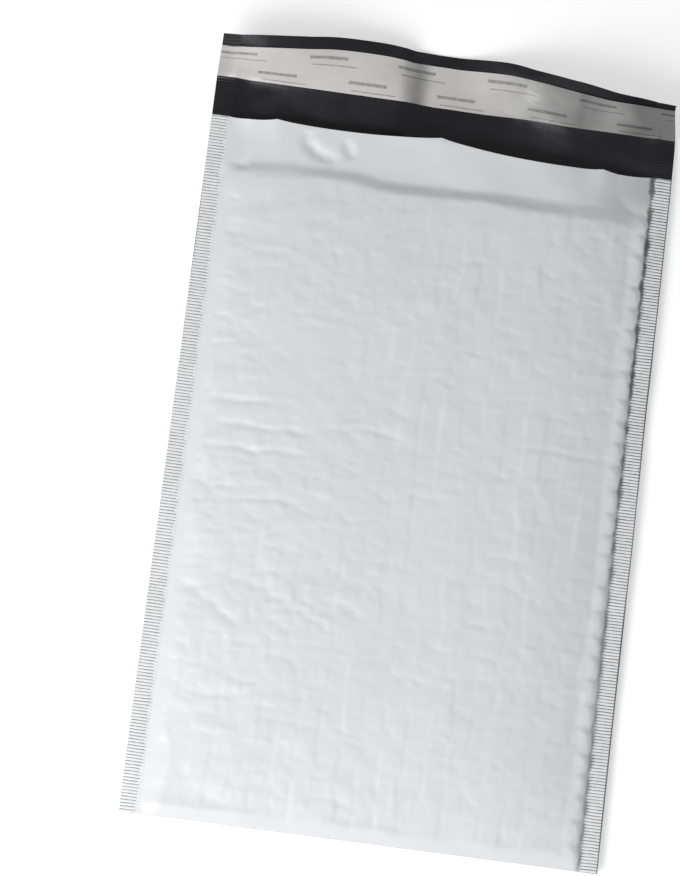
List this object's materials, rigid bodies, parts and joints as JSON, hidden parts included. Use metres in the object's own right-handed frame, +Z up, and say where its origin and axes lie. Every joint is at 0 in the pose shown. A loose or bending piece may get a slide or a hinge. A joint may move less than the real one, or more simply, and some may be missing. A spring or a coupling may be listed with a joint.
{
  "type": "padded envelope",
  "caption": "Empty padded envelope in white film, black inside, with a bubble lining, ribbed side welds and an open flap that carries an adhesive strip.",
  "frame": {"origin": "middle of the footprint, on the surface that the back panel lies on", "axes": "+Y runs the long way, from the bottom fold to the flap; +Z is up, out of the front panel; +X is to the right as one reads the front"},
  "size_m": [0.241, 0.412, 0.0312],
  "materials": {
    "white_film": "soft sheen, black on the inner side and on the flap's face",
    "bubble_sheet": "clear to milky bubble film",
    "hot_melt": "tacky",
    "release_film": "silvery, bare"
  },
  "bodies": {
    "root": {"outer_film": "white_film", "bubble_lining": "bubble_sheet", "adhesive_strip": "hot_melt", "release_liner": "release_film"}
  },
  "joints": []
}
